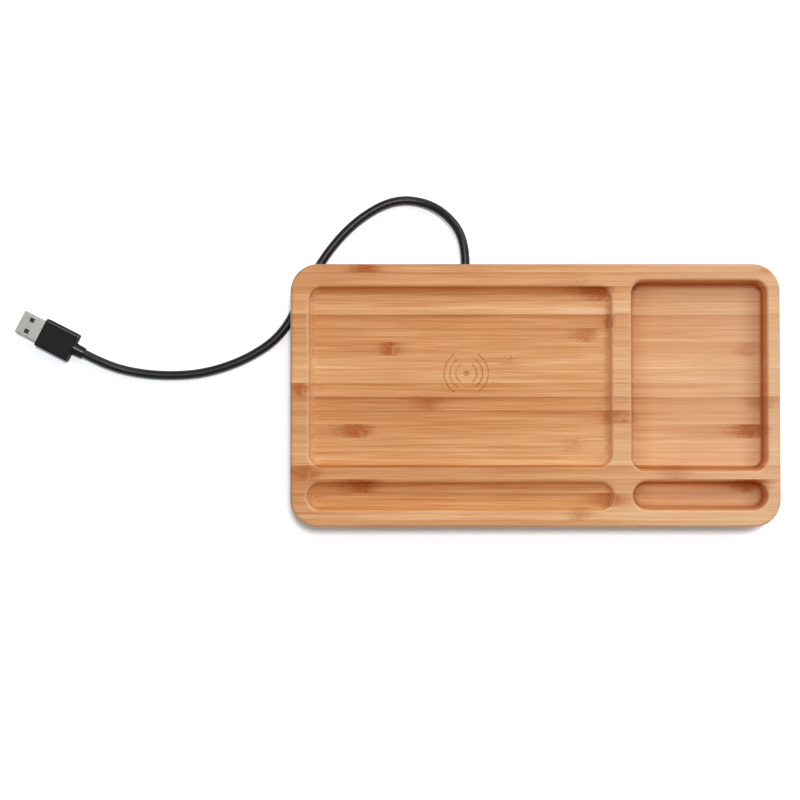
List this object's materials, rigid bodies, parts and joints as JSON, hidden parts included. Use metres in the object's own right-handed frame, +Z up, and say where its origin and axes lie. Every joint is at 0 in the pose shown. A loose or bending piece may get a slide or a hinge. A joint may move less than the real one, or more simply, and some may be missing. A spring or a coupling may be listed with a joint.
{
  "type": "charging station organizer",
  "caption": "Flat bamboo desk tray with milled compartments, a wireless charging spot in the phone bay and a captive cable that ends in a flat plug.",
  "frame": {"origin": "on the desk, below the middle of the tray", "axes": "+X to the right along the tray's length, +Y to the rear edge where the lead leaves, +Z up"},
  "size_m": [0.3824, 0.1668, 0.024],
  "materials": {
    "bamboo": "glued bamboo strips, milled and oiled",
    "cover_plastic": "fine spark-eroded moulded ABS",
    "foot_rubber": "moulded, matt",
    "screw_steel": "zinc plated",
    "coil_copper": "enamelled copper",
    "ferrite": "sintered ferrite",
    "tape": "adhesive film",
    "board": "solder resist on glass epoxy",
    "chip": "moulded epoxy",
    "capacitor": "fired ceramic",
    "grommet_rubber": "moulded, matt",
    "cable_pvc": "extruded PVC, satin",
    "wire_red": "extruded PVC",
    "wire_black": "extruded PVC",
    "plug_pvc": "moulded PVC, satin",
    "plug_metal": "nickel plated sheet steel",
    "plug_plastic": "moulded PBT",
    "contact_gold": "gold flash"
  },
  "bodies": {
    "root": {"tray_body": "bamboo", "foot_front_left": "foot_rubber", "foot_front_right": "foot_rubber", "foot_rear_left": "foot_rubber", "foot_rear_right": "foot_rubber", "foot_washers": "screw_steel", "foot_screws": "screw_steel", "bottom_cover": "cover_plastic", "cover_screws": "screw_steel", "charging_coil": "coil_copper", "coil_leads": "coil_copper", "coil_tape": "tape", "ferrite_plate": "ferrite", "charger_board": "board", "board_screws": "screw_steel", "controller_chip": "chip", "bridge_transistors": "chip", "resonant_capacitors": "capacitor", "filter_capacitors": "capacitor", "cable_grommet": "grommet_rubber", "cable_inside": "cable_pvc", "cable_clamp": "cover_plastic", "clamp_screws": "screw_steel", "power_wire_black": "wire_black", "power_wire_red": "wire_red", "power_cable": "cable_pvc", "plug_body": "plug_pvc", "plug_shell": "plug_metal", "plug_tongue": "plug_plastic", "plug_contacts": "contact_gold"}
  },
  "joints": []
}
